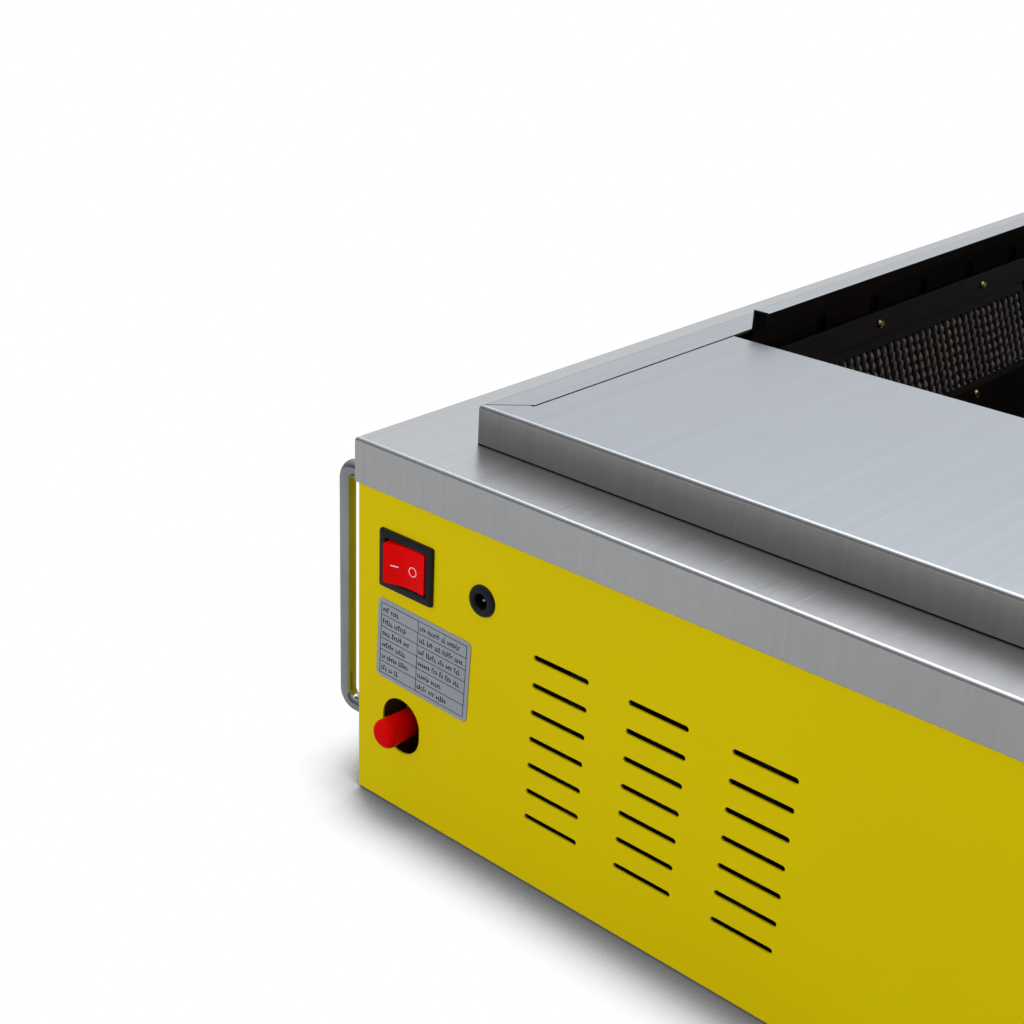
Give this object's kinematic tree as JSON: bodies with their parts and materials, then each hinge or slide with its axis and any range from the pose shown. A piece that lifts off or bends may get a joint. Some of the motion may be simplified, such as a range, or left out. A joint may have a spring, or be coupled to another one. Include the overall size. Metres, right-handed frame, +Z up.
{
  "type": "gas infrared skewer grill",
  "caption": "Long table-top gas skewer grill: yellow sheet-steel case, stainless rim and raised deck, trough lined with infrared burners, U handles, control end with switch.",
  "frame": {"origin": "centre of the footprint, on the table", "axes": "+X towards the side with the valve knobs, +Y along the trough away from the control end, +Z up"},
  "size_m": [0.472, 1.233, 0.241],
  "materials": {
    "yellow_paint": "satin enamel",
    "stainless_rim": "fine brushed",
    "stainless_deck": "fine brushed",
    "rail_steel": "brushed, heat darkened inside",
    "galvanised_steel": "dull zinc",
    "heat_black_steel": "matt heat-resisting black",
    "black_enamel": "satin",
    "burner_steel": "matt, heat tinted",
    "fibre_mat": "knitted heat-resisting metal fibre",
    "brass": "satin",
    "zinc_steel": "bright zinc",
    "red_vinyl": "soft satin",
    "black_plastic": "satin",
    "red_plastic": "translucent gloss",
    "cable_black": "matt",
    "stainless_tray": "dull brushed",
    "chrome_bar": "polished",
    "plate_aluminium": "satin anodised with a printed grid",
    "rubber_foot": "matt"
  },
  "bodies": {
    "casing": {"base_plate": "galvanised_steel", "front_panel": "yellow_paint", "rear_panel": "yellow_paint", "left_panel": "yellow_paint", "right_panel": "yellow_paint", "top_rim": "stainless_rim", "left_strip": "stainless_deck", "right_strip": "stainless_deck", "front_deck": "stainless_deck", "rear_deck": "stainless_deck", "left_rail": "rail_steel", "right_rail": "rail_steel", "left_wall": "heat_black_steel", "right_wall": "heat_black_steel", "left_clamp": "black_enamel", "right_clamp": "black_enamel", "front_bulkhead": "heat_black_steel", "rear_bulkhead": "heat_black_steel", "burner_body_1": "burner_steel", "burner_body_2": "burner_steel", "burner_body_3": "burner_steel", "burner_body_4": "burner_steel", "burner_body_5": "burner_steel", "burner_body_6": "burner_steel", "burner_mat_1": "fibre_mat", "burner_mat_2": "fibre_mat", "burner_mat_3": "fibre_mat", "burner_mat_4": "fibre_mat", "burner_mat_5": "fibre_mat", "burner_mat_6": "fibre_mat", "burner_screws": "brass", "casing_screws": "zinc_steel", "inlet_fitting": "zinc_steel", "gas_manifold": "zinc_steel", "feed_tubes": "zinc_steel", "jets": "brass", "valve_bodies": "brass", "switch_body": "black_plastic", "power_socket": "black_plastic", "fan_frame": "black_plastic", "wiring": "cable_black", "carry_handles": "chrome_bar", "rating_plate": "plate_aluminium", "feet": "rubber_foot"},
    "rocker": {"switch_rocker": "red_plastic"},
    "cap": {"inlet_cap": "red_vinyl"},
    "fan": {"fan_rotor": "black_plastic"},
    "tray": {"drip_tray": "stainless_tray"},
    "stem_1": {"valve_stem_1": "zinc_steel"},
    "knob_1": {"knob_1": "black_plastic"},
    "stem_2": {"valve_stem_2": "zinc_steel"},
    "knob_2": {"knob_2": "black_plastic"},
    "stem_3": {"valve_stem_3": "zinc_steel"},
    "knob_3": {"knob_3": "black_plastic"},
    "stem_4": {"valve_stem_4": "zinc_steel"},
    "knob_4": {"knob_4": "black_plastic"},
    "stem_5": {"valve_stem_5": "zinc_steel"},
    "knob_5": {"knob_5": "black_plastic"},
    "stem_6": {"valve_stem_6": "zinc_steel"},
    "knob_6": {"knob_6": "black_plastic"}
  },
  "joints": [
    {"name": "rocker_tilt", "type": "hinge", "parent": "casing", "child": "rocker", "pos_m": [-0.1625, -0.599, 0.1498], "axis": [0, 0, -1], "range_deg": [0, 16]},
    {"name": "cap_pull", "type": "slide", "parent": "casing", "child": "cap", "axis": [0, -1, 0], "range_m": [0, 0.05]},
    {"name": "fan_spin", "type": "hinge", "parent": "casing", "child": "fan", "pos_m": [0, -0.592, 0.087], "axis": [0, -1, 0], "continuous": true},
    {"name": "tray_slide", "type": "slide", "parent": "casing", "child": "tray", "axis": [0, 1, 0], "range_m": [0, 0.9]},
    {"name": "valve_push_1", "type": "slide", "parent": "casing", "child": "stem_1", "axis": [-1, 0, 0], "range_m": [0, 0.004], "stiffness_N_per_m": 800},
    {"name": "knob_turn_1", "type": "hinge", "parent": "stem_1", "child": "knob_1", "pos_m": [0.2045, -0.39103, 0.08], "axis": [1, 0, 0], "range_deg": [0, 210]},
    {"name": "valve_push_2", "type": "slide", "parent": "casing", "child": "stem_2", "axis": [-1, 0, 0], "range_m": [0, 0.004], "stiffness_N_per_m": 800},
    {"name": "knob_turn_2", "type": "hinge", "parent": "stem_2", "child": "knob_2", "pos_m": [0.2045, -0.33103, 0.08], "axis": [1, 0, 0], "range_deg": [0, 210]},
    {"name": "valve_push_3", "type": "slide", "parent": "casing", "child": "stem_3", "axis": [-1, 0, 0], "range_m": [0, 0.004], "stiffness_N_per_m": 800},
    {"name": "knob_turn_3", "type": "hinge", "parent": "stem_3", "child": "knob_3", "pos_m": [0.2045, -0.0891, 0.08], "axis": [1, 0, 0], "range_deg": [0, 210]},
    {"name": "valve_push_4", "type": "slide", "parent": "casing", "child": "stem_4", "axis": [-1, 0, 0], "range_m": [0, 0.004], "stiffness_N_per_m": 800},
    {"name": "knob_turn_4", "type": "hinge", "parent": "stem_4", "child": "knob_4", "pos_m": [0.2045, -0.0291, 0.08], "axis": [1, 0, 0], "range_deg": [0, 210]},
    {"name": "valve_push_5", "type": "slide", "parent": "casing", "child": "stem_5", "axis": [-1, 0, 0], "range_m": [0, 0.004], "stiffness_N_per_m": 800},
    {"name": "knob_turn_5", "type": "hinge", "parent": "stem_5", "child": "knob_5", "pos_m": [0.2045, 0.21283, 0.08], "axis": [1, 0, 0], "range_deg": [0, 210]},
    {"name": "valve_push_6", "type": "slide", "parent": "casing", "child": "stem_6", "axis": [-1, 0, 0], "range_m": [0, 0.004], "stiffness_N_per_m": 800},
    {"name": "knob_turn_6", "type": "hinge", "parent": "stem_6", "child": "knob_6", "pos_m": [0.2045, 0.27283, 0.08], "axis": [1, 0, 0], "range_deg": [0, 210]}
  ]
}
